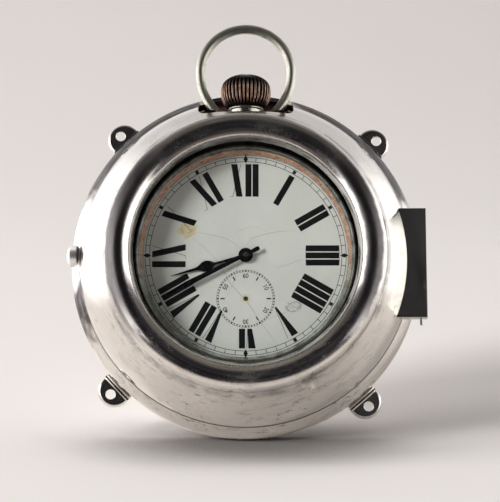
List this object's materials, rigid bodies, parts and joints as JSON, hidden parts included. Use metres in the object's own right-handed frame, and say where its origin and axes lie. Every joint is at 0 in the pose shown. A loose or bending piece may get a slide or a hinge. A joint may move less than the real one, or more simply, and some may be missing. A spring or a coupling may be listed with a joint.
{
  "type": "cased pocket watch",
  "caption": "Large keyless pocket watch with an enamel dial, seated in a round silver-plated bulkhead case with a hinged bezel door, screw lugs, bow and fluted crown.",
  "frame": {"origin": "centre of the case's flat back, which lies against the bulkhead", "axes": "+Z to twelve o'clock, -Y out of the dial, +X to three o'clock as seen from the front"},
  "size_m": [0.1006, 0.0317, 0.1172],
  "materials": {
    "silver_plate": "polished silver plate, tarnished and finely scratched",
    "hinge_silver": "worn silver plate",
    "gilt_brass": "gilt brass",
    "nickel": "tarnished nickel",
    "crown_metal": "worn plating over copper",
    "steel": "fine steel",
    "black_steel": "blued-black steel",
    "enamel": "fired white enamel, hairline cracks",
    "crystal_glass": "clear",
    "velvet": "worn velvet and felt"
  },
  "bodies": {
    "case": {"case_body": "silver_plate", "lug_top_left": "silver_plate", "lug_top_right": "silver_plate", "lug_bottom_left": "silver_plate", "lug_bottom_right": "silver_plate", "rebate_ring_short": "gilt_brass", "rebate_ring_long": "gilt_brass", "hinge_leaf_case": "hinge_silver", "hinge_pin": "steel", "catch_spring": "steel", "seat_ring": "velvet", "seat_pad": "velvet", "watch_middle": "nickel", "watch_bezel": "nickel", "crystal": "crystal_glass", "watch_back": "nickel", "dust_cover": "gilt_brass", "pendant": "nickel", "set_olive": "nickel", "bow_screw_left": "steel", "bow_screw_right": "steel", "dial": "enamel", "main_plate": "gilt_brass", "barrel_bridge": "gilt_brass", "train_bridge": "gilt_brass", "balance_cock": "gilt_brass", "pallet_cock": "gilt_brass", "click_spring": "steel"},
    "door": {"door_bezel": "silver_plate", "hinge_leaf_door": "hinge_silver", "door_strike": "steel"},
    "catch": {"catch_button": "silver_plate", "catch_bolt": "steel"},
    "bow": {"bow": "nickel"},
    "crown": {"crown": "crown_metal", "winding_stem": "steel", "winding_pinion": "steel"},
    "set_pin": {"set_pin": "steel"},
    "minute": {"minute_hand": "black_steel", "cannon_pinion": "steel"},
    "minute_wheel": {"minute_wheel": "gilt_brass"},
    "hour": {"hour_hand": "black_steel", "hour_wheel": "gilt_brass"},
    "fourth": {"fourth_wheel": "gilt_brass"},
    "escape": {"escape_wheel": "steel"},
    "third": {"third_wheel": "gilt_brass"},
    "centre": {"centre_wheel": "gilt_brass"},
    "barrel": {"barrel": "gilt_brass", "barrel_cover": "gilt_brass", "mainspring": "steel"},
    "crown_wheel": {"crown_wheel": "steel"},
    "ratchet": {"ratchet_wheel": "steel", "ratchet_screw": "steel", "barrel_arbor": "steel"},
    "click": {"click": "steel"},
    "lever": {"pallet_lever": "steel"},
    "balance": {"balance_wheel": "gilt_brass", "balance_staff": "steel", "hairspring": "black_steel"},
    "regulator": {"regulator": "steel"}
  },
  "joints": [
    {"name": "door_hinge", "type": "hinge", "parent": "case", "child": "door", "pos_m": [0.0488, -0.0122, 0], "axis": [0, 0, 1], "range_deg": [0, 130]},
    {"name": "catch_press", "type": "slide", "parent": "case", "child": "catch", "axis": [1, 0, 0], "range_m": [0, 0.0006], "stiffness_N_per_m": 200, "springref_m": -0.0005},
    {"name": "bow_swing", "type": "hinge", "parent": "case", "child": "bow", "pos_m": [0, -0.0135, 0.041], "axis": [1, 0, 0], "range_deg": [-25, 80]},
    {"name": "crown_turn", "type": "hinge", "parent": "case", "child": "crown", "pos_m": [0, -0.0135, 0.048], "axis": [0, 0, 1], "continuous": true},
    {"name": "set_pin_press", "type": "slide", "parent": "case", "child": "set_pin", "axis": [-0.2672, 0, -0.9636], "range_m": [0, 0.0007], "stiffness_N_per_m": 60, "springref_m": -0.0005},
    {"name": "minute_hand_turn", "type": "hinge", "parent": "case", "child": "minute", "pos_m": [0, -0.02, 0], "axis": [0, -1, 0], "continuous": true},
    {"name": "minute_wheel_turn", "type": "hinge", "parent": "case", "child": "minute_wheel", "pos_m": [0.003, -0.0186, 0.0052], "axis": [0, -1, 0], "continuous": true},
    {"name": "hour_hand_turn", "type": "hinge", "parent": "case", "child": "hour", "pos_m": [0, -0.0195, 0], "axis": [0, -1, 0], "continuous": true},
    {"name": "fourth_wheel_turn", "type": "hinge", "parent": "case", "child": "fourth", "pos_m": [0, -0.0145, -0.012], "axis": [0, -1, 0], "continuous": true},
    {"name": "escape_wheel_turn", "type": "hinge", "parent": "case", "child": "escape", "pos_m": [-0.00653, -0.0135, -0.01297], "axis": [0, -1, 0], "continuous": true},
    {"name": "third_wheel_turn", "type": "hinge", "parent": "case", "child": "third", "pos_m": [0.00622, -0.0135, -0.00699], "axis": [0, -1, 0], "continuous": true},
    {"name": "centre_wheel_turn", "type": "hinge", "parent": "case", "child": "centre", "pos_m": [0, -0.0135, 0], "axis": [0, -1, 0], "continuous": true},
    {"name": "barrel_turn", "type": "hinge", "parent": "case", "child": "barrel", "pos_m": [-0.01213, -0.0135, 0.00754], "axis": [0, -1, 0], "continuous": true},
    {"name": "crown_wheel_turn", "type": "hinge", "parent": "case", "child": "crown_wheel", "pos_m": [0, -0.0096, 0.0196], "axis": [0, -1, 0], "continuous": true},
    {"name": "ratchet_turn", "type": "hinge", "parent": "case", "child": "ratchet", "pos_m": [-0.01213, -0.0096, 0.00754], "axis": [0, -1, 0], "continuous": true},
    {"name": "click_pivot", "type": "hinge", "parent": "case", "child": "click", "pos_m": [-0.02473, -0.0096, 0.00294], "axis": [0, 1, 0], "range_deg": [0, 12]},
    {"name": "lever_rock", "type": "hinge", "parent": "case", "child": "lever", "pos_m": [-0.00994, -0.0134, -0.01347], "axis": [0, -1, 0], "range_deg": [-5, 5]},
    {"name": "balance_swing", "type": "hinge", "parent": "case", "child": "balance", "pos_m": [-0.0135, -0.012, -0.014], "axis": [0, -1, 0], "range_deg": [-220, 220]},
    {"name": "regulator_shift", "type": "hinge", "parent": "case", "child": "regulator", "pos_m": [-0.0135, -0.0097, -0.014], "axis": [0, -1, 0], "range_deg": [-20, 20]}
  ],
  "couplings": [
    {"joint": "minute_wheel_turn", "follows": "minute_hand_turn", "ratio": -0.33333},
    {"joint": "hour_hand_turn", "follows": "minute_hand_turn", "ratio": 0.083333},
    {"joint": "escape_wheel_turn", "follows": "fourth_wheel_turn", "ratio": -8},
    {"joint": "third_wheel_turn", "follows": "fourth_wheel_turn", "ratio": -0.13333},
    {"joint": "centre_wheel_turn", "follows": "fourth_wheel_turn", "ratio": 0.016667},
    {"joint": "barrel_turn", "follows": "fourth_wheel_turn", "ratio": -0.0027778},
    {"joint": "crown_wheel_turn", "follows": "crown_turn", "ratio": 0.52632},
    {"joint": "ratchet_turn", "follows": "crown_turn", "ratio": -0.30303}
  ]
}
